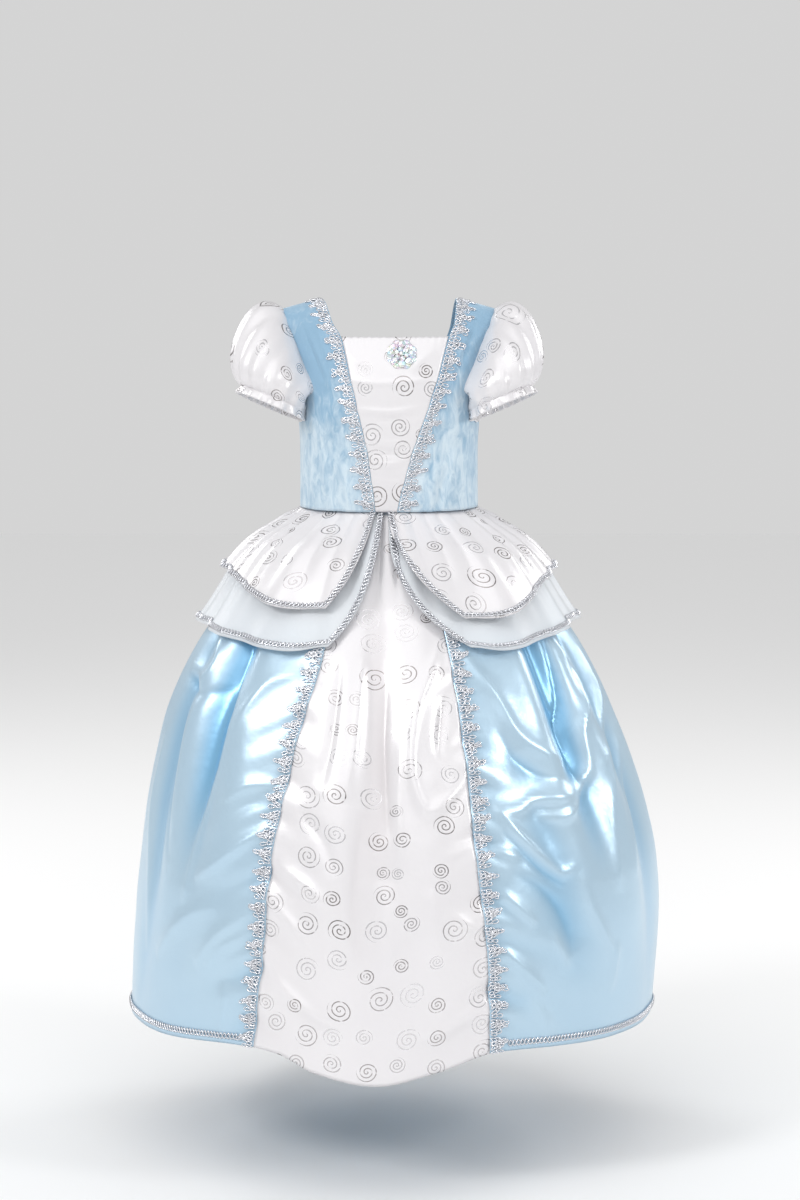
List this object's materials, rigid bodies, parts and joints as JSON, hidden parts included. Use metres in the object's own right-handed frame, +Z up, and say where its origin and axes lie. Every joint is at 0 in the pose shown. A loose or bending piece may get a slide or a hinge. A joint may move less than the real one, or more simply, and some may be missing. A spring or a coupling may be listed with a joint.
{
  "type": "princess costume dress",
  "caption": "Child's princess costume dress with a full bell skirt, open tiered peplum, braided bodice and short puff sleeves, hollow as worn.",
  "frame": {"origin": "middle of the shoulder line, midway between the two shoulder seams, where the wearer carries the dress", "axes": "+Z up; the front of the dress faces -Y; +X is the wearer's left"},
  "size_m": [0.5395, 0.4968, 0.7378],
  "materials": {
    "white_foil_satin": "white polyester satin with fine silver foil swirls",
    "white_organza": "plain sheer white organza over satin",
    "blue_satin": "light blue polyester satin, glossy",
    "blue_velvet": "dusty blue crushed stretch velvet",
    "silver_braid": "looped silver metallic-yarn braid and narrow edging",
    "crystal_sequins": "iridescent sequins and clear cabochons sewn as a flower"
  },
  "bodies": {
    "root": {"bodice_front_centre": "white_foil_satin", "bodice_front_left": "blue_velvet", "bodice_front_right": "blue_velvet", "bodice_back": "blue_velvet", "sleeve_left": "white_foil_satin", "sleeve_right": "white_foil_satin", "skirt_front": "white_foil_satin", "skirt_side_left": "blue_satin", "skirt_side_right": "blue_satin", "skirt_back": "blue_satin", "peplum_upper_left": "white_foil_satin", "peplum_upper_right": "white_foil_satin", "peplum_lower_left": "white_organza", "peplum_lower_right": "white_organza", "braid_bodice_left": "silver_braid", "braid_bodice_right": "silver_braid", "braid_skirt_left": "silver_braid", "braid_skirt_right": "silver_braid", "edging_peplum_upper_left": "silver_braid", "edging_peplum_upper_right": "silver_braid", "edging_peplum_lower_left": "silver_braid", "edging_peplum_lower_right": "silver_braid", "edging_hem_side_left": "silver_braid", "edging_hem_side_right": "silver_braid", "edging_hem_back": "silver_braid", "rosette": "crystal_sequins"}
  },
  "joints": []
}
